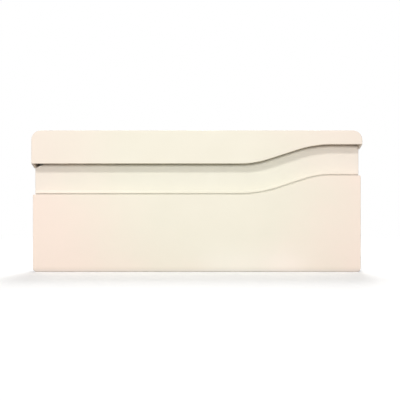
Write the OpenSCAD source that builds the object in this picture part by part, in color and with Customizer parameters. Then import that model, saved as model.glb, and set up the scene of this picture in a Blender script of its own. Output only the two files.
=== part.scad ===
// Door flap of a small fridge's freezer compartment, in millimetres.
// X runs along the width, the front faces -Y and Z points up, with the bottom edge at zero.
// The pieces are drawn with the foremost face at y = 0 and moved to the middle of the depth at the end.

/* [Outline] */
// Width over the handle strip.
door_w = 412; // [380:1:440]
// Height over all.
door_h = 176.5; // [165:0.5:195]
// How far the panel and body stand back from the strip's ends, each side.
side_step = 1; // [0.5:0.25:3]
// Radius of the two upper corners.
top_r = 12; // [8:0.5:16]
// Radius of the two lower corners.
bottom_r = 4.5; // [3:0.5:8]
// Rounding of the front edges.
edge_r = 1; // [0.5:0.1:1.4]

/* [Handle] */
// Height of the strip at the left.
band_h = 41.5; // [36:0.5:50]
// How far the strip's lower edge rises towards the right.
edge_rise = 24; // [16:1:28]
// Slope of the rising part, in degrees.
edge_slope = 18; // [14:0.5:24]
// Where the edge starts to rise, from the middle.
bend_x = 54; // [20:1:70]
// Radius of the lower bend.
low_bend_r = 115; // [70:5:140]
// Radius of the upper bend.
high_bend_r = 143; // [90:1:170]
// Width of the finger groove, square to the edge.
groove_w = 36.5; // [30:0.5:42]
// How far the fingers can reach up behind the strip.
recess_h = 11; // [8:0.5:13]
// How far the end webs run down under the strip.
web_drop = 5; // [2:0.5:8]
// How much deeper that recess is than the groove floor.
recess_d = 1.5; // [0.8:0.1:1.8]
// Length of the notch beside the left end web.
notch_l = 12; // [8:0.5:16]
// How far that notch dips under the strip's edge.
notch_h = 4; // [2:0.5:5]
// How deep that notch reaches behind the groove floor.
notch_d = 10; // [4:0.5:11]
// Radius of the hollow at the foot of the groove floor.
cove_r = 9; // [5:0.5:14]
// How far that hollow turns up towards its front edge, in degrees.
cove_turn = 30; // [15:1:40]
// Thickness of that edge.
cove_edge = 0.3; // [0.1:0.1:1]
// Wall of the strip's front.
lip_t = 3; // [2.5:0.1:4]

/* [Depths] */
// From the strip's face to the lower panel's face.
panel_set = 4; // [2:0.5:8]
// From the strip's face to the floor of the groove.
floor_set = 15; // [12:0.5:20]
// From the strip's face to the back rim of the body.
rim_set = 28; // [26:0.5:34]
// Wall of the body, the panel and the strip's sides.
wall = 2.5; // [2:0.1:3]

/* [Ribs] */
// Distance between the stiffening ribs.
rib_pitch = 40; // [30:1:60]
// Thickness of a rib.
rib_t = 1.6; // [1.2:0.1:2]
// How far the ribs stop short of the piece behind them.
rib_gap = 0.5; // [0.3:0.1:1]

/* [Seam] */
// Width of the seam between the groove floor and the lower panel.
seam_w = 2; // [0.6:0.1:2.4]
// Depth of that seam in the floor.
seam_d = 0.8; // [0.5:0.1:1.8]

/* [Back panel] */
// Thickness of the inner liner.
liner_t = 2; // [1.5:0.1:3]
// How far the liner stands back from the body's sides.
liner_step = 1; // [0.5:0.25:2]
// From the body's sides to the foot of the raised field.
field_in = 21; // [19:0.5:30]
// Height of the raised field.
field_h = 5; // [3:0.5:7]
// How far the field's sides lean in over their height.
field_draft = 1.5; // [0.5:0.25:3]
// Corner radius of the raised field.
field_r = 9; // [6:0.5:14]

/* [Seal] */
// From the body's sides to the seal's outer edge.
seal_in = 4; // [3:0.5:6]
// Width of the seal.
seal_w = 13; // [11:0.5:14]
// How far the seal stands out from the liner.
seal_h = 6; // [5:0.5:9]
// How far the seal's foot stands back from its edges.
foot_in = 1.5; // [1:0.25:2.5]
// How deep the foot sits in the liner.
foot_d = 0.8; // [0.4:0.1:1]
// Thickness of the folding neck.
neck_t = 3; // [2:0.25:4]

/* [Hinge] */
// Radius of the hinge pin's bore.
pin_r = 3; // [2:0.1:3.2]
// Depth of the hinge pin's bore.
pin_len = 12; // [10:0.5:16]
// From the inner end of the upper corner's round to the pin's middle.
pin_in = 9; // [8:0.5:16]
// Wall around the bore and over its end.
boss_t = 1.8; // [1.5:0.1:2]
// Width of the seat's base plate.
seat_w = 16; // [12:0.5:16]
// Clearance of the base plate in its notch, each side.
seat_gap = 0.1; // [0.05:0.05:0.3]

/* [Hidden] */
body_w = door_w - 2 * side_step;
back_set = rim_set + liner_t;
depth = back_set + seal_h;
low_z = door_h - band_h;
high_z = low_z + edge_rise;
bend_sum = low_bend_r + high_bend_r;
rise_len = (edge_rise - bend_sum * (1 - cos(edge_slope))) / sin(edge_slope);
low_c = [bend_x, low_z + low_bend_r];
high_c = low_c + bend_sum * [sin(edge_slope), -cos(edge_slope)]
    + rise_len * [cos(edge_slope), sin(edge_slope)];
pin_x = body_w / 2 - top_r - pin_in;
pin_y = (floor_set + wall + rim_set) / 2;
bend_n = 14;
chain_n = 2 * bend_n + 4;

// Points along an arc, both ends included.
function arc(c, r, a0, a1, n) =
    [for (i = [0:n]) let (a = a0 + (a1 - a0) * i / n) c + r * [cos(a), sin(a)]];

function turned(p) = [for (i = [len(p) - 1:-1:0]) p[i]];

// Two rows of points joined by a straight run, chain_n points in all.
function joined(a, b) = let (p = a[len(a) - 1], m = chain_n - len(a) - len(b))
    concat(a, [for (k = [1:m]) p + (b[0] - p) * k / (m + 1)], b);

// The strip's lower edge moved down by d, from -x to x.
function edge(d, x) = concat(
    [[-x, low_z - d]],
    arc(low_c, low_bend_r + d, -90, -90 + edge_slope, bend_n),
    arc(high_c, high_bend_r - d, 90 + edge_slope, 90, bend_n),
    [[x, high_z - d]]);

// Straight edges with round corners at both ends, from -x to x.
function top_edge(x, z, r) = joined(arc([r - x, z - r], r, 180, 90, 12), arc([x - r, z - r], r, 90, 0, 12));
function bottom_edge(x, z, r) = joined(arc([r - x, z + r], r, 180, 270, 8), arc([x - r, z + r], r, 270, 360, 8));

// A shape is a lower and an upper row of points, drawn in by i all round.
function strip_shape(i) = [edge(-i, door_w / 2 - i), top_edge(door_w / 2 - i, door_h - i, top_r - i)];
function panel_shape(i) = [bottom_edge(body_w / 2 - i, i, bottom_r - i),
    edge(groove_w + seam_w + i, body_w / 2 - i)];
function body_shape(i) = [bottom_edge(body_w / 2 - i, i, bottom_r - i),
    top_edge(body_w / 2 - i, door_h - i, top_r - i)];
function field_shape(i) = [bottom_edge(body_w / 2 - field_in - i, field_in + i, field_r - i),
    top_edge(body_w / 2 - field_in - i, door_h - field_in - i, field_r - i)];

// Flat piece of a shape between two depths.
module slab(y0, y1) {
    translate([0, y1, 0]) rotate([90, 0, 0]) linear_extrude(y1 - y0) children();
}

module outline(s) {
    polygon(concat(s[0], turned(s[1])));
}

// Solid through a row of shapes, each [y, shape], from front to back.
module loft(rings) {
    n = chain_n;
    m = 2 * n;
    last = (len(rings) - 1) * m;
    polyhedron(
        [for (g = rings) each [for (p = concat(g[1][0], turned(g[1][1]))) [p[0], g[0], p[1]]]],
        concat(
            [for (i = [0:n - 2]) [m - 1 - i, m - 2 - i, i + 1, i]],
            [for (i = [0:n - 2]) [last + i, last + i + 1, last + m - 2 - i, last + m - 1 - i]],
            [for (k = [0:len(rings) - 2], j = [0:m - 1]) let (a = k * m + j, b = k * m + (j + 1) % m)
                [a, b, b + m, a + m]]),
        convexity = 4);
}

// Quarter round of radius r as pairs of depth and inset, the face at y.
function rounding(y, r) = [for (t = [0:22.5:90]) [y + r - r * cos(t), r - r * sin(t)]];

module at_pins() {
    for (x = [-pin_x, pin_x]) translate([x, pin_y, 0]) children();
}

module upside_down() {
    translate([0, 0, door_h]) mirror([0, 0, 1]) children();
}

// Grid of ribs, kept between the hinge seats, for trimming to a piece's inside.
module ribs() {
    n = floor((pin_x - seat_w / 2 - rib_t) / rib_pitch);
    for (k = [-n:n]) translate([k * rib_pitch - rib_t / 2, 0]) square([rib_t, door_h]);
    for (k = [1:floor(door_h / rib_pitch)]) translate([-n * rib_pitch, k * rib_pitch - rib_t / 2])
        square([2 * n * rib_pitch, rib_t]);
}

// Notch in the body's wall for one hinge seat's base plate.
module seat_notch() {
    translate([-seat_w / 2 - seat_gap, floor_set + wall - pin_y, -1])
        cube([seat_w + 2 * seat_gap, rim_set - floor_set, wall + 1]);
}

// Hollow foot of the groove floor, which ends in a blunt edge over the seam.
module groove_cove() {
    x = body_w / 2 - edge_r;
    function rise(a) = cove_r * (sin(cove_turn) - sin(a)) + cove_edge;
    loft(concat(
        [for (k = [5:-1:1]) let (a = cove_turn * k / 5)
            [floor_set - cove_r * (1 - cos(a)), [edge(groove_w, x), edge(groove_w - rise(a), x)]]],
        [[floor_set + seam_d / 2, [edge(groove_w, x), edge(groove_w - rise(0), x)]]]));
}

// Opening beside the left end web, from the groove into the body.
module end_notch() {
    x0 = wall - door_w / 2;
    slab(floor_set - 1, floor_set + notch_d)
        polygon([[x0, low_z - notch_h], [x0 + notch_l, low_z + 1], [x0 + notch_l, low_z + recess_h / 2],
            [x0, low_z + recess_h / 2]]);
}

// Open-backed carrier: the groove floor is its front, the walls run back to the rim.
module door_body() {
    color("ivory") difference() {
        union() {
            loft(concat([for (e = rounding(floor_set, edge_r)) [e[0], body_shape(e[1])]], [[rim_set, body_shape(0)]]));
            groove_cove();
        }
        slab(floor_set + wall, rim_set + 1) difference() {
            outline(body_shape(wall));
            ribs();
        }
        slab(rim_set - rib_gap, rim_set + 1) outline(body_shape(wall));
        slab(floor_set - 1, floor_set + seam_d)
            polygon(concat(edge(groove_w, door_w), turned(edge(groove_w + seam_w, door_w))));
        slab(floor_set - 1, floor_set + recess_d)
            polygon(concat(edge(0, door_w / 2 - wall), turned(edge(-recess_h, door_w / 2 - wall))));
        end_notch();
        at_pins() seat_notch();
        upside_down() at_pins() seat_notch();
    }
}

// Web that runs down under the strip at one end; z is the height of the strip's edge there.
module end_web(z) {
    rotate([90, 0, 90]) linear_extrude(wall)
        polygon([[edge_r, z], [floor_set, z - web_drop], [floor_set, z + 1], [edge_r, z + 1]]);
}

// Front band with rounded upper corners, the finger recess behind it and the end webs.
module handle_strip() {
    recess_x = door_w / 2 - wall;
    color("ivory") {
        difference() {
            loft(concat([for (e = rounding(0, edge_r)) [e[0], strip_shape(e[1])]], [[floor_set, strip_shape(0)]]));
            slab(lip_t, floor_set + 1) polygon(concat(edge(5, recess_x), turned(edge(-recess_h, recess_x))));
            slab(lip_t, floor_set + 1) difference() {
                outline([edge(0, recess_x), top_edge(recess_x, door_h - wall, top_r - wall)]);
                polygon(concat(edge(-recess_h - wall, door_w), [[door_w, 0], [-door_w, 0]]));
                ribs();
            }
        }
        translate([-door_w / 2, 0, 0]) end_web(low_z);
        translate([door_w / 2 - wall, 0, 0]) end_web(high_z);
    }
}

// Lower fascia: face, skirts back to the body, and the ledge under the seam.
module lower_panel() {
    color("ivory") difference() {
        loft(concat([for (e = rounding(panel_set, edge_r)) [e[0], panel_shape(e[1])]], [[floor_set, panel_shape(0)]]));
        slab(panel_set + wall, floor_set + 1) difference() {
            outline(panel_shape(wall));
            ribs();
        }
        slab(floor_set - rib_gap, floor_set + 1) outline(panel_shape(wall));
    }
}

// Inner liner: flat border and a raised field with leaning sides inside the seal.
module back_panel() {
    top = back_set + field_h;
    color("white") difference() {
        union() {
            slab(rim_set, back_set) outline(body_shape(liner_step));
            loft([[rim_set + liner_t / 2, field_shape(0)], [back_set, field_shape(0)],
                [top - 1, field_shape(field_draft)], [top - 0.3, field_shape(field_draft + 0.3)],
                [top, field_shape(field_draft + 1)]]);
        }
        slab(rim_set - 1, top - liner_t) outline(field_shape(field_draft + liner_t));
        mitred_frame([[back_set - foot_d, foot_in], [back_set + 1, foot_in], [back_set + 1, seal_w - foot_in],
            [back_set - foot_d, seal_w - foot_in]], body_w / 2 - seal_in, seal_in, door_h - seal_in);
    }
}

// Profile of the seal as pairs of depth and distance from its outer edge: foot, folding neck, magnet strip.
seal_profile = let (w = seal_w, f = foot_in, y = back_set, h = seal_h, n = neck_t / 2, m = seal_w / 2 - 0.5) [
    [y - foot_d, f], [y + 0.15 * h, f], [y + 0.3 * h, m - n], [y + 0.42 * h, m - n - 1], [y + 0.5 * h, 0.8],
    [y + 0.62 * h, 0], [y + 0.86 * h, 0], [y + h, 1], [y + h, w - 1], [y + 0.86 * h, w], [y + 0.62 * h, w],
    [y + 0.5 * h, w - 0.8], [y + 0.42 * h, m + n + 1], [y + 0.3 * h, m + n], [y + 0.15 * h, w - f], [y - foot_d, w - f]];

// The profile carried round a rectangle, mitred at its corners; x and z are its outer half width and ends.
module mitred_frame(profile, x, z0, z1) {
    n = len(profile);
    polyhedron(
        [for (p = profile) let (y = p[0], u = p[1]) each
            [[u - x, y, z0 + u], [x - u, y, z0 + u], [x - u, y, z1 - u], [u - x, y, z1 - u]]],
        [for (i = [0:n - 1], c = [0:3]) let (k = (i + 1) % n, d = (c + 1) % 4)
            [4 * i + c, 4 * i + d, 4 * k + d, 4 * k + c]],
        convexity = 6);
}

module door_seal() {
    color("gainsboro") mitred_frame(seal_profile, body_w / 2 - seal_in, seal_in, door_h - seal_in);
}

// Base plate and boss with a blind bore that opens at z = 0.
module hinge_seat() {
    span = rim_set - floor_set - wall;
    difference() {
        union() {
            translate([-seat_w / 2, -span / 2, 0]) cube([seat_w, span, wall]);
            cylinder(r = pin_r + boss_t, h = pin_len + boss_t, $fn = 48);
        }
        translate([0, 0, -1]) cylinder(r = pin_r, h = pin_len + 1, $fn = 48);
    }
}

module low_seat(side) {
    color("silver") translate([side * pin_x, pin_y, 0]) hinge_seat();
}

module top_seat(side) {
    upside_down() low_seat(side);
}

module placed() {
    translate([0, -depth / 2, 0]) children();
}

placed() door_body();
placed() handle_strip();
placed() lower_panel();
placed() back_panel();
placed() door_seal();
placed() low_seat(-1);  // hinge_seat_low_left
placed() low_seat(1);  // hinge_seat_low_right
placed() top_seat(-1);  // hinge_seat_top_left
placed() top_seat(1);  // hinge_seat_top_right
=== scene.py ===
"""Freezer compartment door: finishes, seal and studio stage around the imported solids."""

import math

import bmesh
import bpy
from bpy.props import FloatProperty, FloatVectorProperty, IntProperty, PointerProperty
from bpy.types import Operator, Panel, PropertyGroup
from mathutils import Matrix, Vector


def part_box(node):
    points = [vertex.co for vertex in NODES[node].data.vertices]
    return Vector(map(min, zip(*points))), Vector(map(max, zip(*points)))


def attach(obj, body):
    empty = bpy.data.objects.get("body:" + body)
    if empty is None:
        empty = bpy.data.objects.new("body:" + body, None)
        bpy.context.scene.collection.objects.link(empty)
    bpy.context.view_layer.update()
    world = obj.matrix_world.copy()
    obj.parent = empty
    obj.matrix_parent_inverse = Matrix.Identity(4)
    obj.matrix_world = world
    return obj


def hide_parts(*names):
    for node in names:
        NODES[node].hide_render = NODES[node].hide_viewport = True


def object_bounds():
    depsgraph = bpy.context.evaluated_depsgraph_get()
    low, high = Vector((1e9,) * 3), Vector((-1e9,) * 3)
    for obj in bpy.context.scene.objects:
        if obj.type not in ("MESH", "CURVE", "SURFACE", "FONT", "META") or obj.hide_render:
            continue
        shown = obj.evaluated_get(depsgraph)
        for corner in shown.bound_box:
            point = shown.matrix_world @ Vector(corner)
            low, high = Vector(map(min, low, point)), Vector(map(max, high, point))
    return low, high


bl_info = {
    "name": "Freezer Compartment Door",
    "version": (1, 0, 0),
    "blender": (4, 5, 0),
    "location": "3D View > Sidebar > Door",
    "description": "Finishes the moulded pieces, sweeps the seal and sets the studio",
    "category": "Object",
}

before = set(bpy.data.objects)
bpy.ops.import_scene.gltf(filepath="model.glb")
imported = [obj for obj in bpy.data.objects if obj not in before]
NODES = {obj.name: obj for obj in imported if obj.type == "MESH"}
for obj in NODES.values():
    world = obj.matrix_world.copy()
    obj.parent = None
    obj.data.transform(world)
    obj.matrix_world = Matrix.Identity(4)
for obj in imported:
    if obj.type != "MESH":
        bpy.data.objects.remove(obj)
CAD_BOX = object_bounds()
DOOR_LOW, DOOR_HIGH = CAD_BOX
MM = 0.001
UPRIGHT = (math.radians(90), 0, 0)


class DoorFinish(PropertyGroup):
    """Colours and surfaces of the moulded pieces."""

    # Painted light: the three creams are one plastic; the panel's is set a little lighter and the body's a
    # little greyer, to make up for the light that the panel and the groove get.
    strip_colour: FloatVectorProperty(
        name="Strip colour", description="Cream of the handle strip, at mid width",
        default=(0.874, 0.822, 0.677), subtype="COLOR", min=0, max=1)
    body_colour: FloatVectorProperty(
        name="Body colour", description="Cream of the body and its groove, at mid width",
        default=(0.856, 0.820, 0.686), subtype="COLOR", min=0, max=1)
    panel_colour: FloatVectorProperty(
        name="Panel colour", description="Cream of the lower panel, at mid width",
        default=(0.894, 0.840, 0.692), subtype="COLOR", min=0, max=1)
    # Painted light: the end tints make both ends pinker and a little darker in green, a colour cast of the
    # light; the plastic itself is even. The lean shifts that cast's middle to the right towards the bottom
    # edge.
    strip_tint: FloatVectorProperty(
        name="Strip tint",
        description="What the strip's and the body's colour is multiplied by at both ends",
        default=(1.057, 0.979, 1.023), min=0, max=2)
    panel_tint: FloatVectorProperty(
        name="Panel tint", description="What the panel's colour is multiplied by at both ends",
        default=(1.083, 0.963, 1.003), min=0, max=2)
    end_cast_lean: FloatProperty(
        name="End cast lean", description="How far the cream middle moves to the right towards the bottom edge",
        default=0.233)
    front_roughness: FloatProperty(
        name="Front roughness", description="Roughness of the satin plastic", default=0.48, min=0, max=1)
    grain_size: FloatProperty(
        name="Grain size", description="Distance between the grains of the cream plastic",
        default=0.0009, unit="LENGTH", min=0.0001)
    edge_width: FloatProperty(
        name="Edge width", description="Width of the small bevel on the moulded edges",
        default=0.0002, unit="LENGTH", min=0)
    # Painted shade: this grey darkens the cream plastic where ambient occlusion finds a near surface, in the
    # seams and in the recess under the strip's edge; the amount and the reach set how much and how far.
    painted_shade_colour: FloatVectorProperty(
        name="Dust colour", description="Grey dust in the seams and in the corners of the groove",
        default=(0.36, 0.35, 0.33), subtype="COLOR", min=0, max=1)
    painted_shade_amount: FloatProperty(
        name="Dust amount", description="How much of the plastic the dust hides in a narrow seam",
        default=0.34, min=0, max=1)
    painted_shade_reach: FloatProperty(
        name="Dust reach", description="How near the next surface must be for dust to settle",
        default=0.010, unit="LENGTH", min=0.0005)
    liner_colour: FloatVectorProperty(
        name="Liner colour", description="White of the inner liner",
        default=(0.84, 0.84, 0.80), subtype="COLOR", min=0, max=1)
    seal_colour: FloatVectorProperty(
        name="Seal colour", description="Grey white of the soft seal",
        default=(0.60, 0.60, 0.57), subtype="COLOR", min=0, max=1)
    resin_colour: FloatVectorProperty(
        name="Hinge resin colour", description="Plain resin of the hinge seats",
        default=(0.70, 0.69, 0.64), subtype="COLOR", min=0, max=1)


class DoorStage(PropertyGroup):
    """Camera, lamps and floor."""

    camera_distance: FloatProperty(
        name="Camera distance", description="From the lens to the strip's face",
        default=0.75, unit="LENGTH", min=0.2)
    photo_width: IntProperty(
        name="Photo width", description="Width of the photo in pixels", default=400, min=1, subtype="PIXEL")
    pixel_size: FloatProperty(
        name="Pixel size", description="Size of one photo pixel at the strip's face",
        default=0.0012428, unit="LENGTH", min=0.0001)
    aim_right: FloatProperty(
        name="Aim right",
        description="Photo pixels from the door's middle to the camera's axis, to the right",
        default=3.2)
    aim_up: FloatProperty(
        name="Aim up",
        description="Photo pixels from the door's middle to the camera's axis, upwards",
        default=1.3)
    key_power: FloatProperty(
        name="Key power", description="Power of the lamp at the upper left",
        default=26.7, unit="POWER", min=0)
    key_size: FloatProperty(
        name="Key size", description="Width of that lamp, which softens the strip's shadow",
        default=0.383, unit="LENGTH", min=0.01)
    key_distance: FloatProperty(
        name="Key distance", description="From that lamp to the door", default=2.8, unit="LENGTH", min=0.3)
    key_side: FloatProperty(
        name="Key side", description="Turn of that lamp to the left of the view axis",
        default=math.radians(18), subtype="ANGLE")
    key_height: FloatProperty(
        name="Key height", description="Elevation of that lamp above the view axis",
        default=math.radians(36.5), subtype="ANGLE")
    fill_power: FloatProperty(
        name="Fill power", description="Power of the soft lamp in front",
        default=34.6, unit="POWER", min=0)
    fill_size: FloatProperty(
        name="Fill size", description="Width of the lamp in front", default=0.65, unit="LENGTH", min=0.01)
    fill_distance: FloatProperty(
        name="Fill distance", description="From the lamp in front to the door",
        default=2.8, unit="LENGTH", min=0.3)
    fill_side: FloatProperty(
        name="Fill side", description="Turn of the lamp in front to the left",
        default=0, subtype="ANGLE")
    fill_height: FloatProperty(
        name="Fill height", description="Elevation of the lamp in front",
        default=math.radians(9), subtype="ANGLE")
    top_power: FloatProperty(
        name="Top power", description="Power of the lamp above and behind",
        default=15.0, unit="POWER", min=0)
    top_size: FloatProperty(
        name="Top size", description="Width of the lamp above and behind",
        default=0.8, unit="LENGTH", min=0.01)
    top_distance: FloatProperty(
        name="Top distance", description="From the lamp above and behind to the door",
        default=2.0, unit="LENGTH", min=0.3)
    top_side: FloatProperty(
        name="Top side", description="Turn of the lamp above and behind to the left",
        default=0, subtype="ANGLE")
    top_height: FloatProperty(
        name="Top height", description="Elevation of the lamp above and behind",
        default=math.radians(60), subtype="ANGLE")
    rear_power: FloatProperty(
        name="Rear power", description="Power of the soft lamp behind", default=21.0, unit="POWER", min=0)
    rear_size: FloatProperty(
        name="Rear size", description="Width of the lamp behind", default=0.9, unit="LENGTH", min=0.01)
    rear_distance: FloatProperty(
        name="Rear distance", description="From the lamp behind to the door",
        default=2.2, unit="LENGTH", min=0.3)
    rear_side: FloatProperty(
        name="Rear side", description="Turn of the lamp behind to the left",
        default=math.radians(-12), subtype="ANGLE")
    rear_height: FloatProperty(
        name="Rear height", description="Elevation of the lamp behind",
        default=math.radians(20), subtype="ANGLE")
    sheen_power: FloatProperty(
        name="Sheen power", description="Power of the low strip of light that shows only as a sheen",
        default=0.033, unit="POWER", min=0)
    sheen_colour: FloatVectorProperty(
        name="Sheen colour", description="Colour of that light",
        default=(0.64, 0.8, 1.0), subtype="COLOR", min=0, max=1)
    sheen_width: FloatProperty(
        name="Sheen width", description="Width of that light", default=0.13, unit="LENGTH", min=0.001)
    sheen_thickness: FloatProperty(
        name="Sheen thickness", description="From the lower to the upper edge of that light",
        default=0.008, unit="LENGTH", min=0.001)
    sheen_right: FloatProperty(
        name="Sheen right", description="From the door's middle to that light, to the right",
        default=0.075, unit="LENGTH")
    sheen_gap: FloatProperty(
        name="Sheen gap", description="From the strip's face to that light",
        default=0.048, unit="LENGTH", min=0.001)
    sheen_height: FloatProperty(
        name="Sheen height", description="From the floor to the middle of that light",
        default=0.005, unit="LENGTH", min=0)
    sky_level: FloatProperty(
        name="Sky level", description="Strength of the soft light from all round", default=0.27, min=0)
    floor_size: FloatProperty(
        name="Floor size", description="Width of the square floor", default=8.0, unit="LENGTH", min=1)
    floor_paint: FloatProperty(
        name="Floor paint", description="Whiteness of the floor as it is seen, near the door",
        default=0.9, min=0, max=1)
    floor_bounce: FloatProperty(
        name="Floor bounce", description="Whiteness of the floor as it lights the door",
        default=0.27, min=0, max=1)
    floor_glow: FloatProperty(
        name="Floor glow", description="What is seen on top of the floor's lit colour, near the door",
        default=0.22, min=0)
    distant_glow: FloatProperty(
        name="Distant glow", description="The same far off, where the floor's own colour has faded out",
        default=1.0, min=0)
    shadow_start: FloatProperty(
        name="Shadow start", description="Where the floor's own colour, and so the shadow, begins to fade",
        default=0.35, unit="LENGTH", min=0)
    shadow_end: FloatProperty(
        name="Shadow end", description="Where the floor's own colour has faded out",
        default=0.8, unit="LENGTH", min=0)


def emptied(node_owner):
    """Node tree of a material or a world, with nothing in it."""
    node_owner.use_nodes = True
    node_owner.node_tree.nodes.clear()
    return node_owner.node_tree


def place(tree, kind, inputs=None, **settings):
    """New node with its settings and its unlinked inputs."""
    node = tree.nodes.new(kind)
    for name, value in settings.items():
        setattr(node, name, value)
    for name, value in (inputs or {}).items():
        node.inputs[name].default_value = value
    return node


def group_tree(name, inputs, outputs):
    """Shader node group with named sockets: (name, socket type, default) and (name, socket type)."""
    tree = bpy.data.node_groups.new(name, "ShaderNodeTree")
    for label, kind, default in inputs:
        tree.interface.new_socket(label, in_out="INPUT", socket_type=kind).default_value = default
    for label, kind in outputs:
        tree.interface.new_socket(label, in_out="OUTPUT", socket_type=kind)
    return tree, place(tree, "NodeGroupInput"), place(tree, "NodeGroupOutput")


# A noise swings about this value.
NOISE_MIDDLE = 0.5


def make_grain_group():
    """Fine spark-eroded mould grain with slow waviness: a height and a small change of roughness."""
    tree, source, sink = group_tree(
        "Moulded Grain",
        [("Scale", "NodeSocketFloat", 1100.0), ("Waviness", "NodeSocketFloat", 0.35)],
        [("Height", "NodeSocketFloat"), ("Sheen Change", "NodeSocketFloat")])
    link = tree.links.new
    coords = place(tree, "ShaderNodeTexCoord")
    fine = place(tree, "ShaderNodeTexNoise", {"Detail": 2.0, "Roughness": 0.55})
    slow = place(tree, "ShaderNodeTexNoise", {"Scale": 38.0, "Detail": 1.0})
    mixed = place(tree, "ShaderNodeMath", operation="MULTIPLY_ADD")
    centred = place(tree, "ShaderNodeMath", {1: NOISE_MIDDLE}, operation="SUBTRACT")
    link(coords.outputs["Object"], fine.inputs["Vector"])
    link(coords.outputs["Object"], slow.inputs["Vector"])
    link(source.outputs["Scale"], fine.inputs["Scale"])
    link(slow.outputs["Fac"], mixed.inputs[0])
    link(source.outputs["Waviness"], mixed.inputs[1])
    link(fine.outputs["Fac"], mixed.inputs[2])
    link(mixed.outputs[0], sink.inputs["Height"])
    link(slow.outputs["Fac"], centred.inputs[0])
    link(centred.outputs[0], sink.inputs["Sheen Change"])
    return tree


def make_end_cast_group():
    """Cream with a painted colour cast of the light, pinker and a little darker in green away from its
    middle, with faint cloudy patches; distances are in metres.
    """
    tree, source, sink = group_tree(
        "Aged Cream",
        [("Colour", "NodeSocketColor", (0.9, 0.87, 0.75, 1)),
         ("End Tint", "NodeSocketVector", (1, 0.95, 0.97)),
         ("Middle", "NodeSocketVector", (0.004, 0, 0.115)),
         ("Lean", "NodeSocketFloat", 0.0),
         ("Start", "NodeSocketFloat", 0.067),
         ("End", "NodeSocketFloat", 0.228),
         ("Drift", "NodeSocketFloat", 0.10),
         ("Clouding", "NodeSocketFloat", 0.03)],
        [("Colour", "NodeSocketColor")])
    link = tree.links.new
    coords = place(tree, "ShaderNodeTexCoord")
    offset = place(tree, "ShaderNodeVectorMath", operation="SUBTRACT")
    parts = place(tree, "ShaderNodeSeparateXYZ")
    across = place(tree, "ShaderNodeMath", operation="MULTIPLY_ADD")
    flat = place(tree, "ShaderNodeCombineXYZ")
    away = place(tree, "ShaderNodeVectorMath", operation="LENGTH")
    clouds = place(tree, "ShaderNodeTexNoise", {"Scale": 14.0, "Detail": 3.0, "Roughness": 0.5})
    patch = place(tree, "ShaderNodeMath", {1: NOISE_MIDDLE}, operation="SUBTRACT")
    moved = place(tree, "ShaderNodeMath", operation="MULTIPLY_ADD")
    cast_share = place(tree, "ShaderNodeMapRange", interpolation_type="SMOOTHSTEP")
    tint = place(tree, "ShaderNodeMix", {"A": (1, 1, 1)}, data_type="VECTOR")
    tinted = place(tree, "ShaderNodeVectorMath", operation="MULTIPLY")
    fade = place(tree, "ShaderNodeMath", {2: 1.0}, operation="MULTIPLY_ADD")
    clouded = place(tree, "ShaderNodeVectorMath", operation="SCALE")
    link(coords.outputs["Object"], offset.inputs[0])
    link(source.outputs["Middle"], offset.inputs[1])
    link(offset.outputs["Vector"], parts.inputs[0])
    link(parts.outputs["Z"], across.inputs[0])
    link(source.outputs["Lean"], across.inputs[1])
    link(parts.outputs["X"], across.inputs[2])
    link(across.outputs[0], flat.inputs["X"])
    link(parts.outputs["Z"], flat.inputs["Z"])
    link(flat.outputs["Vector"], away.inputs[0])
    link(coords.outputs["Object"], clouds.inputs["Vector"])
    link(clouds.outputs["Fac"], patch.inputs[0])
    link(patch.outputs[0], moved.inputs[0])
    link(source.outputs["Drift"], moved.inputs[1])
    link(away.outputs["Value"], moved.inputs[2])
    link(moved.outputs[0], cast_share.inputs["Value"])
    link(source.outputs["Start"], cast_share.inputs["From Min"])
    link(source.outputs["End"], cast_share.inputs["From Max"])
    link(cast_share.outputs["Result"], tint.inputs["Factor"])
    link(source.outputs["End Tint"], tint.inputs["B"])
    link(source.outputs["Colour"], tinted.inputs[0])
    link(tint.outputs["Result"], tinted.inputs[1])
    link(patch.outputs[0], fade.inputs[0])
    link(source.outputs["Clouding"], fade.inputs[1])
    link(tinted.outputs["Vector"], clouded.inputs[0])
    link(fade.outputs[0], clouded.inputs["Scale"])
    link(clouded.outputs["Vector"], sink.inputs["Colour"])
    return tree


def make_painted_shade_group():
    """Painted shade in seams and hollows, darkened by ambient occlusion: none where the share of open sky is
    Open, the full amount where it is Closed.
    """
    tree, source, sink = group_tree(
        "Seam Dust",
        [("Reach", "NodeSocketFloat", 0.01), ("Amount", "NodeSocketFloat", 0.3),
         ("Open", "NodeSocketFloat", 0.97), ("Closed", "NodeSocketFloat", 0.4)],
        [("Dust", "NodeSocketFloat")])
    link = tree.links.new
    openness = place(tree, "ShaderNodeAmbientOcclusion", samples=16)
    shade_share = place(tree, "ShaderNodeMapRange", interpolation_type="SMOOTHSTEP")
    link(source.outputs["Reach"], openness.inputs["Distance"])
    link(openness.outputs["AO"], shade_share.inputs["Value"])
    link(source.outputs["Open"], shade_share.inputs["From Min"])
    link(source.outputs["Closed"], shade_share.inputs["From Max"])
    link(source.outputs["Amount"], shade_share.inputs["To Max"])
    link(shade_share.outputs["Result"], sink.inputs["Dust"])
    return tree


def shared_group(name, maker):
    """Node group of that name, made once."""
    return bpy.data.node_groups.get(name) or maker()


# Depth of the mould grain on every plastic, in metres.
GRAIN_DEPTH = 0.0002


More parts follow.
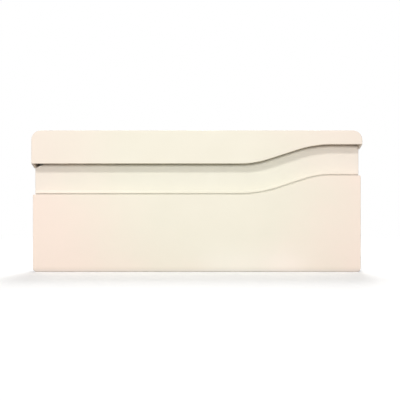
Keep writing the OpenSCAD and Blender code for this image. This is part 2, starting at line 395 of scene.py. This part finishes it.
def grained_surface(name, index, roughness, sheen_change, grain_scale, grain_strength):
    """Material with the mould grain in its roughness and its normal, and its surface shader."""
    material = bpy.data.materials.new(name)
    tree = emptied(material)
    output = place(tree, "ShaderNodeOutputMaterial")
    link = tree.links.new
    surface = place(tree, "ShaderNodeBsdfPrincipled", {"IOR": index})
    grain = place(
        tree, "ShaderNodeGroup", {"Scale": grain_scale},
        node_tree=shared_group("Moulded Grain", make_grain_group))
    bump = place(tree, "ShaderNodeBump", {"Strength": grain_strength, "Distance": GRAIN_DEPTH})
    sheen = place(tree, "ShaderNodeMath", {1: sheen_change, 2: roughness}, operation="MULTIPLY_ADD")
    link(grain.outputs["Sheen Change"], sheen.inputs[0])
    link(sheen.outputs[0], surface.inputs["Roughness"])
    link(grain.outputs["Height"], bump.inputs["Height"])
    link(bump.outputs["Normal"], surface.inputs["Normal"])
    link(surface.outputs["BSDF"], output.inputs["Surface"])
    return material, surface


def cream_plastic(name, colour, tint, finish):
    """Satin cream plastic with a painted colour cast of the light at its ends, mould grain, and painted shade
    in its seams and hollows.
    """
    material, surface = grained_surface(
        name, index=1.49, roughness=finish.front_roughness, sheen_change=0.12,
        grain_scale=1 / finish.grain_size, grain_strength=0.10)
    tree = material.node_tree
    link = tree.links.new
    # Painted light: the colour cast at the ends.
    end_cast = place(
        tree, "ShaderNodeGroup", {"Colour": (*colour, 1), "End Tint": tint, "Lean": finish.end_cast_lean},
        node_tree=shared_group("Aged Cream", make_end_cast_group))
    # Painted shade: the grey is mixed in where ambient occlusion finds a near surface.
    painted_shade = place(
        tree, "ShaderNodeGroup", {"Reach": finish.painted_shade_reach, "Amount": finish.painted_shade_amount},
        node_tree=shared_group("Seam Dust", make_painted_shade_group))
    shaded_colour = place(tree, "ShaderNodeMix", {"B": (*finish.painted_shade_colour, 1)}, data_type="RGBA")
    link(end_cast.outputs["Colour"], shaded_colour.inputs["A"])
    link(painted_shade.outputs["Dust"], shaded_colour.inputs["Factor"])
    link(shaded_colour.outputs["Result"], surface.inputs["Base Color"])
    return material


def plain_plastic(name, colour, roughness, grain_scale, grain_strength):
    """One-colour plastic or rubber with its own mould grain."""
    material, surface = grained_surface(
        name, index=1.5, roughness=roughness, sheen_change=0.15,
        grain_scale=grain_scale, grain_strength=grain_strength)
    surface.inputs["Base Color"].default_value = (*colour, 1)
    return material


# Points nearer than the first are one point, and faces that turn less than the second are one face.
WELD_DISTANCE = 0.000001
FLAT_ANGLE = math.radians(0.4)
# Edges that turn more than this are softened.
SOFTENED_ANGLE = math.radians(35)


def soft_edged(name, material, edge_width):
    """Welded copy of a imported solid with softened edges, which stands for it."""
    welded = bmesh.new()
    welded.from_mesh(NODES[name].data)
    bmesh.ops.remove_doubles(welded, verts=welded.verts, dist=WELD_DISTANCE)
    bmesh.ops.dissolve_limit(welded, angle_limit=FLAT_ANGLE, verts=welded.verts, edges=welded.edges)
    mesh = bpy.data.meshes.new(f"{name}_moulding")
    welded.to_mesh(mesh)
    welded.free()
    mesh.materials.clear()
    mesh.materials.append(material)
    mesh.shade_smooth()
    piece = bpy.data.objects.new(mesh.name, mesh)
    bpy.context.scene.collection.objects.link(piece)
    soften = piece.modifiers.new("Softened edges", "BEVEL")
    soften.width = edge_width
    soften.segments = 2
    soften.limit_method = "ANGLE"
    soften.angle_limit = SOFTENED_ANGLE
    level = piece.modifiers.new("Flat faces stay flat", "WEIGHTED_NORMAL")
    level.weight = 100
    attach(piece, "root")
    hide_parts(name)


class DOOR_OT_finish_front(Operator):
    """Finish the body, the handle strip and the lower panel in aged cream plastic"""

    bl_idname = "door.finish_front"
    bl_label = "Finish the front pieces"

    def execute(self, context):
        finish = context.scene.door_finish
        body = cream_plastic("Body plastic", finish.body_colour, finish.strip_tint, finish)
        strip = cream_plastic("Strip plastic", finish.strip_colour, finish.strip_tint, finish)
        panel = cream_plastic("Panel plastic", finish.panel_colour, finish.panel_tint, finish)
        soft_edged("door_body", body, finish.edge_width)
        soft_edged("handle_strip", strip, finish.edge_width)
        soft_edged("lower_panel", panel, finish.edge_width)
        return {"FINISHED"}


class DOOR_OT_finish_liner(Operator):
    """Finish the inner liner in smooth white plastic"""

    bl_idname = "door.finish_liner"
    bl_label = "Finish the liner"

    def execute(self, context):
        finish = context.scene.door_finish
        gloss = plain_plastic(
            "Liner plastic", finish.liner_colour, roughness=0.28, grain_scale=420.0, grain_strength=0.05)
        soft_edged("back_panel", gloss, finish.edge_width)
        return {"FINISHED"}


# The seal's section in millimetres: distance in from its outer edge, height over the liner.
SEAL_SECTION = (
    # Foot, then the folding neck's inner side.
    (1.7, -0.8), (11.3, -0.8), (11.5, -0.6), (11.5, 0.7), (11.2, 0.95), (8.6, 1.3),
    (7.7, 1.65), (7.5, 1.95), (7.8, 2.25), (9.0, 2.55), (11.9, 2.95),
    # Head, whose face has two small grooves.
    (12.7, 3.3), (13.0, 3.8), (13.0, 5.1), (12.85, 5.55), (12.4, 5.88), (11.9, 6.0),
    (9.4, 6.0), (9.2, 5.85), (8.9, 5.85), (8.7, 6.0), (4.3, 6.0), (4.1, 5.85), (3.8, 5.85), (3.6, 6.0),
    (1.1, 6.0), (0.6, 5.88), (0.15, 5.55), (0.0, 5.1), (0.0, 3.8), (0.3, 3.3),
    # The neck's outer side, back to the foot.
    (1.1, 2.95), (3.0, 2.55), (4.2, 2.25), (4.5, 1.95), (4.3, 1.65),
    (3.4, 1.3), (1.8, 0.95), (1.5, 0.7), (1.5, -0.6))
# How far the foot reaches into the liner's channel, in millimetres.
SEAL_FOOT = 0.8
# Edges of the seal that turn more than this stay sharp.
SEAL_SHARP_ANGLE = math.radians(50)


def section_curve(name, points):
    """Closed outline whose width is stretched so that square mitres keep the section true."""
    curve = bpy.data.curves.new(name, "CURVE")
    spline = curve.splines.new("POLY")
    spline.points.add(len(points) - 1)
    for point, (across, height) in zip(spline.points, reversed(points)):
        point.co = (-across * MM * math.sqrt(2), height * MM, 0, 1)
    spline.use_cyclic_u = True
    holder = bpy.data.objects.new(name, curve)
    bpy.context.scene.collection.objects.link(holder)
    return holder


def mitred_seal_tree():
    """Sweeps a section round a rectangle and turns it upright."""
    tree = bpy.data.node_groups.new("Mitred Seal", "GeometryNodeTree")
    for label, kind in (
            ("Section", "NodeSocketObject"), ("Width", "NodeSocketFloat"), ("Height", "NodeSocketFloat"),
            ("Middle", "NodeSocketVector"), ("Material", "NodeSocketMaterial")):
        tree.interface.new_socket(label, in_out="INPUT", socket_type=kind)
    tree.interface.new_socket("Geometry", in_out="OUTPUT", socket_type="NodeSocketGeometry")
    source = place(tree, "NodeGroupInput")
    sink = place(tree, "NodeGroupOutput")
    path = place(tree, "GeometryNodeCurvePrimitiveQuadrilateral")
    section = place(tree, "GeometryNodeObjectInfo")
    sweep = place(tree, "GeometryNodeCurveToMesh")
    upright = place(tree, "GeometryNodeTransform", {"Rotation": UPRIGHT})
    realize = place(tree, "GeometryNodeRealizeInstances")
    coat = place(tree, "GeometryNodeSetMaterial")
    link = tree.links.new
    link(source.outputs["Width"], path.inputs["Width"])
    link(source.outputs["Height"], path.inputs["Height"])
    link(source.outputs["Section"], section.inputs["Object"])
    link(path.outputs["Curve"], sweep.inputs["Curve"])
    link(section.outputs["Geometry"], sweep.inputs["Profile Curve"])
    link(sweep.outputs["Mesh"], upright.inputs["Geometry"])
    link(source.outputs["Middle"], upright.inputs["Translation"])
    link(upright.outputs["Geometry"], realize.inputs["Geometry"])
    link(realize.outputs["Geometry"], coat.inputs["Geometry"])
    link(source.outputs["Material"], coat.inputs["Material"])
    link(coat.outputs["Geometry"], sink.inputs["Geometry"])
    return tree


def grown_mesh(name, tree, values):
    """Plain mesh of what a Geometry Nodes tree makes from named values."""
    carrier = bpy.data.objects.new(name, bpy.data.meshes.new(name))
    bpy.context.scene.collection.objects.link(carrier)
    grower = carrier.modifiers.new(name, "NODES")
    grower.node_group = tree
    for item in tree.interface.items_tree:
        if item.item_type == "SOCKET" and item.in_out == "INPUT":
            grower[item.identifier] = values[item.name]
    ready = carrier.evaluated_get(bpy.context.evaluated_depsgraph_get())
    plain = bpy.data.meshes.new_from_object(ready)
    carrier.modifiers.clear()
    carrier.data = plain
    return carrier


class DOOR_OT_make_seal(Operator):
    """Sweep the soft seal with its folding neck round the liner"""

    bl_idname = "door.make_seal"
    bl_label = "Make the seal"

    def execute(self, context):
        finish = context.scene.door_finish
        low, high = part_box("door_seal")
        rubber = plain_plastic(
            "Seal rubber", finish.seal_colour, roughness=0.6, grain_scale=900.0, grain_strength=0.15)
        section = section_curve("Seal section", SEAL_SECTION)
        seal = grown_mesh("door_seal_sweep", mitred_seal_tree(), {
            "Section": section,
            "Width": high.x - low.x,
            "Height": high.z - low.z,
            "Middle": ((low.x + high.x) / 2, low.y + SEAL_FOOT * MM, (low.z + high.z) / 2),
            "Material": rubber})
        bpy.data.objects.remove(section)
        seal.data.shade_smooth()
        seal.data.set_sharp_from_angle(angle=SEAL_SHARP_ANGLE)
        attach(seal, "root")
        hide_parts("door_seal")
        return {"FINISHED"}


class DOOR_OT_finish_seats(Operator):
    """Finish the four hinge seats in plain resin"""

    bl_idname = "door.finish_seats"
    bl_label = "Finish the hinge seats"

    def execute(self, context):
        finish = context.scene.door_finish
        resin = plain_plastic(
            "Hinge resin", finish.resin_colour, roughness=0.45, grain_scale=1300.0, grain_strength=0.08)
        for name in NODES:
            if name.startswith("hinge_seat"):
                soft_edged(name, resin, finish.edge_width)
        return {"FINISHED"}


def photo_camera(stage, middle):
    """Camera straight before the door, which frames it as the photo does."""
    view = bpy.data.cameras.new("Camera")
    field = stage.pixel_size * stage.photo_width
    view.lens = view.sensor_width * stage.camera_distance / field
    view.clip_start = 0.01
    camera = bpy.data.objects.new("Camera", view)
    camera.location = middle + Vector(
        (stage.aim_right * stage.pixel_size, -stage.camera_distance, stage.aim_up * stage.pixel_size))
    camera.rotation_euler = UPRIGHT
    bpy.context.scene.collection.objects.link(camera)
    return camera


def soft_lamp(name, stage, aim, behind=False):
    """Round area lamp before or behind the door, with the stage's settings that start with its name."""
    power, size, distance, side, height = (
        getattr(stage, f"{name.lower()}_{setting}")
        for setting in ("power", "size", "distance", "side", "height"))
    lamp = bpy.data.lights.new(name, "AREA")
    lamp.shape = "DISK"
    lamp.size = size
    lamp.energy = power
    away = Vector((-math.tan(side), 1 if behind else -1, math.tan(height))).normalized()
    holder = bpy.data.objects.new(name, lamp)
    holder.location = aim + away * distance
    holder.rotation_euler = (-away).to_track_quat("-Z", "Y").to_euler()
    bpy.context.scene.collection.objects.link(holder)


def sheen_lamp(name, stage):
    """Low strip of light before the door that shows only as a sheen on what is glossy."""
    lamp = bpy.data.lights.new(name, "AREA")
    lamp.shape = "RECTANGLE"
    lamp.size = stage.sheen_width
    lamp.size_y = stage.sheen_thickness
    lamp.energy = stage.sheen_power
    lamp.color = stage.sheen_colour
    holder = bpy.data.objects.new(name, lamp)
    holder.location = (stage.sheen_right, DOOR_LOW.y - stage.sheen_gap, stage.sheen_height)
    holder.rotation_euler = UPRIGHT
    holder.visible_camera = False
    holder.visible_diffuse = False
    bpy.context.scene.collection.objects.link(holder)


def seen_directly(tree):
    """1 for camera, mirror and glass rays."""
    path = place(tree, "ShaderNodeLightPath")
    glossy = place(tree, "ShaderNodeMath", operation="MAXIMUM")
    glass = place(tree, "ShaderNodeMath", operation="MAXIMUM")
    tree.links.new(path.outputs["Is Camera Ray"], glossy.inputs[0])
    tree.links.new(path.outputs["Is Glossy Ray"], glossy.inputs[1])
    tree.links.new(glossy.outputs[0], glass.inputs[0])
    tree.links.new(path.outputs["Is Transmission Ray"], glass.inputs[1])
    return glass.outputs[0]


def floor_material(stage):
    """Floor with the door's shadow near it, plain white farther off, that bounces little light."""
    material = bpy.data.materials.new("Studio floor")
    tree = emptied(material)
    output = place(tree, "ShaderNodeOutputMaterial")
    link = tree.links.new
    direct = seen_directly(tree)
    fading = {"From Min": stage.shadow_start, "From Max": stage.shadow_end}
    coords = place(tree, "ShaderNodeTexCoord")
    away = place(tree, "ShaderNodeVectorMath", operation="LENGTH")
    seen = place(tree, "ShaderNodeMapRange", {**fading, "To Min": stage.floor_paint, "To Max": 0.0})
    shade = place(tree, "ShaderNodeMapRange", {"To Min": stage.floor_bounce})
    paint = place(tree, "ShaderNodeBsdfDiffuse")
    glow = place(
        tree, "ShaderNodeMapRange", {**fading, "To Min": stage.floor_glow, "To Max": stage.distant_glow})
    level = place(tree, "ShaderNodeMath", operation="MULTIPLY")
    glowing = place(tree, "ShaderNodeEmission", {"Color": (1, 1, 1, 1)})
    both = place(tree, "ShaderNodeAddShader")
    link(coords.outputs["Object"], away.inputs[0])
    link(away.outputs["Value"], seen.inputs["Value"])
    link(direct, shade.inputs["Value"])
    link(seen.outputs["Result"], shade.inputs["To Max"])
    link(shade.outputs["Result"], paint.inputs["Color"])
    link(away.outputs["Value"], glow.inputs["Value"])
    link(direct, level.inputs[0])
    link(glow.outputs["Result"], level.inputs[1])
    link(level.outputs[0], glowing.inputs["Strength"])
    link(paint.outputs[0], both.inputs[0])
    link(glowing.outputs[0], both.inputs[1])
    link(both.outputs[0], output.inputs["Surface"])
    return material


def studio_floor(name, stage):
    """Square floor that the door stands on."""
    half = stage.floor_size / 2
    mesh = bpy.data.meshes.new(name)
    corners = [(-half, -half, 0), (half, -half, 0), (half, half, 0), (-half, half, 0)]
    mesh.from_pydata(corners, [], [(0, 1, 2, 3)])
    mesh.materials.append(floor_material(stage))
    plane = bpy.data.objects.new(name, mesh)
    bpy.context.scene.collection.objects.link(plane)


def studio_world(name, stage):
    """Even soft light that is white where it is seen directly."""
    world = bpy.data.worlds.new(name)
    tree = emptied(world)
    output = place(tree, "ShaderNodeOutputWorld")
    sky = place(tree, "ShaderNodeBackground", {"Color": (1, 1, 1, 1)})
    strength = place(tree, "ShaderNodeMapRange", {"To Min": stage.sky_level, "To Max": 1.0})
    tree.links.new(seen_directly(tree), strength.inputs["Value"])
    tree.links.new(strength.outputs["Result"], sky.inputs["Strength"])
    tree.links.new(sky.outputs[0], output.inputs["Surface"])
    return world


class DOOR_OT_set_stage(Operator):
    """Make the camera, the lamps, the floor and the studio's soft light"""

    bl_idname = "door.set_stage"
    bl_label = "Set the stage"

    def execute(self, context):
        scene = context.scene
        stage = scene.door_stage
        middle = Vector((0, DOOR_LOW.y, DOOR_HIGH.z / 2))
        scene.camera = photo_camera(stage, middle)
        soft_lamp("Key", stage, middle)
        soft_lamp("Fill", stage, middle)
        soft_lamp("Top", stage, middle, behind=True)
        sheen_lamp("Sheen", stage)
        soft_lamp("Rear", stage, middle, behind=True)
        studio_floor("Floor", stage)
        scene.world = studio_world("Studio", stage)
        scene.view_settings.view_transform = "Standard"
        return {"FINISHED"}


class DOOR_PT_sidebar(Panel):
    """Lists the door's steps and settings."""

    bl_label = "Freezer Compartment Door"
    bl_idname = "DOOR_PT_sidebar"
    bl_space_type = "VIEW_3D"
    bl_region_type = "UI"
    bl_category = "Door"

    def draw(self, context):
        layout = self.layout
        for group in (context.scene.door_finish, context.scene.door_stage):
            box = layout.box()
            for name in group.__annotations__:
                box.prop(group, name)
        for operator in OPERATORS:
            layout.operator(operator.bl_idname)


OPERATORS = (
    DOOR_OT_finish_front,
    DOOR_OT_finish_liner,
    DOOR_OT_make_seal,
    DOOR_OT_finish_seats,
    DOOR_OT_set_stage,
)
CLASSES = (DoorFinish, DoorStage, *OPERATORS, DOOR_PT_sidebar)


def register():
    for cls in CLASSES:
        bpy.utils.register_class(cls)
    bpy.types.Scene.door_finish = PointerProperty(type=DoorFinish)
    bpy.types.Scene.door_stage = PointerProperty(type=DoorStage)


def unregister():
    del bpy.types.Scene.door_stage
    del bpy.types.Scene.door_finish
    for cls in reversed(CLASSES):
        bpy.utils.unregister_class(cls)


def main():
    """Runs the steps in order."""
    register()
    for operator in OPERATORS:
        group, name = operator.bl_idname.split(".")
        getattr(getattr(bpy.ops, group), name)()


if __name__ == "__main__":
    main()
